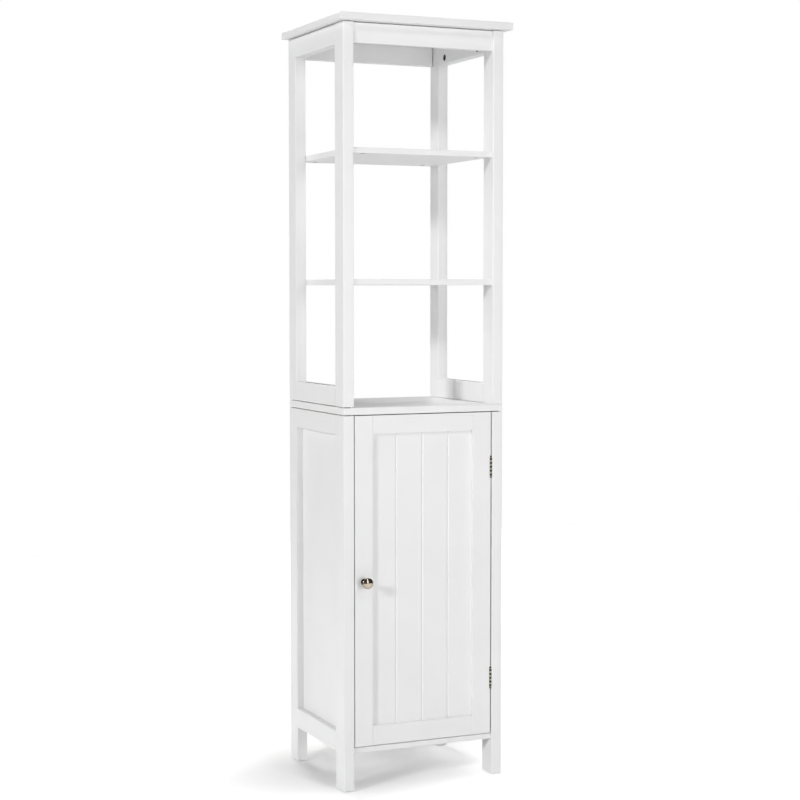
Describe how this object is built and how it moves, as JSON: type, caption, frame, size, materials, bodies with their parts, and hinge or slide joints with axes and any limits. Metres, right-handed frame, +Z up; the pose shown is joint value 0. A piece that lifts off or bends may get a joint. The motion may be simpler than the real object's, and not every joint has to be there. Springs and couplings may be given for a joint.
{
  "type": "freestanding bathroom cabinet",
  "caption": "Tall slim white bathroom cabinet: an open unit with shelves stands on a framed cupboard whose planked door swings on butt hinges, with a round metal knob.",
  "frame": {"origin": "on the floor, under the middle of the overall box", "axes": "+Z up, -Y towards the door's front, +X to the right seen from the front"},
  "size_m": [0.4, 0.353, 1.632],
  "materials": {
    "painted_board": "white satin paint on MDF",
    "back_hardboard": "white faced hardboard",
    "beech": "bare fluted beech",
    "zinc": "dark die-cast zinc",
    "plated_steel": "zinc-plated steel",
    "brushed_nickel": "brushed nickel plate",
    "antique_brass": "antique brass plate",
    "white_plastic": "moulded white plastic",
    "grey_plastic": "moulded grey plastic",
    "ferrite": "sintered ferrite"
  },
  "bodies": {
    "cabinet": {"back_panel": "back_hardboard", "back_panel_screws": "plated_steel", "bottom_board": "painted_board", "cam_bolts": "zinc", "cam_locks": "zinc", "catch_housing": "white_plastic", "catch_magnet": "ferrite", "catch_pole_plates": "plated_steel", "catch_screws": "plated_steel", "cupboard_shelf": "painted_board", "foot_glides": "grey_plastic", "frame_dowels": "beech", "front_apron": "painted_board", "hinge_post_screws": "antique_brass", "left_front_leg": "painted_board", "left_rear_leg": "painted_board", "left_side_panel": "painted_board", "lower_hinge_pin": "antique_brass", "lower_hinge_post_leaf": "antique_brass", "lower_left_bottom_rail": "painted_board", "lower_left_top_rail": "painted_board", "lower_open_shelf": "painted_board", "lower_right_bottom_rail": "painted_board", "lower_right_top_rail": "painted_board", "middle_board": "painted_board", "middle_board_screws": "plated_steel", "rear_apron": "painted_board", "right_front_leg": "painted_board", "right_rear_leg": "painted_board", "right_side_panel": "painted_board", "shelf_supports": "plated_steel", "top_board": "painted_board", "upper_hinge_pin": "antique_brass", "upper_hinge_post_leaf": "antique_brass", "upper_left_bottom_rail": "painted_board", "upper_left_front_post": "painted_board", "upper_left_rear_post": "painted_board", "upper_left_top_rail": "painted_board", "upper_open_shelf": "painted_board", "upper_right_bottom_rail": "painted_board", "upper_right_front_post": "painted_board", "upper_right_rear_post": "painted_board", "upper_right_top_rail": "painted_board"},
    "door": {"door_left_stile": "painted_board", "door_right_stile": "painted_board", "door_top_rail": "painted_board", "door_bottom_rail": "painted_board", "door_panel": "painted_board", "knob": "brushed_nickel", "knob_screw": "plated_steel", "upper_hinge_door_leaf": "antique_brass", "lower_hinge_door_leaf": "antique_brass", "hinge_door_screws": "antique_brass", "strike_plate": "plated_steel", "strike_screws": "plated_steel"}
  },
  "joints": [
    {"name": "door_swing", "type": "hinge", "parent": "cabinet", "child": "door", "pos_m": [0.1595, -0.1495, 0.44625], "axis": [0, 0, 1], "range_deg": [0, 130]}
  ]
}
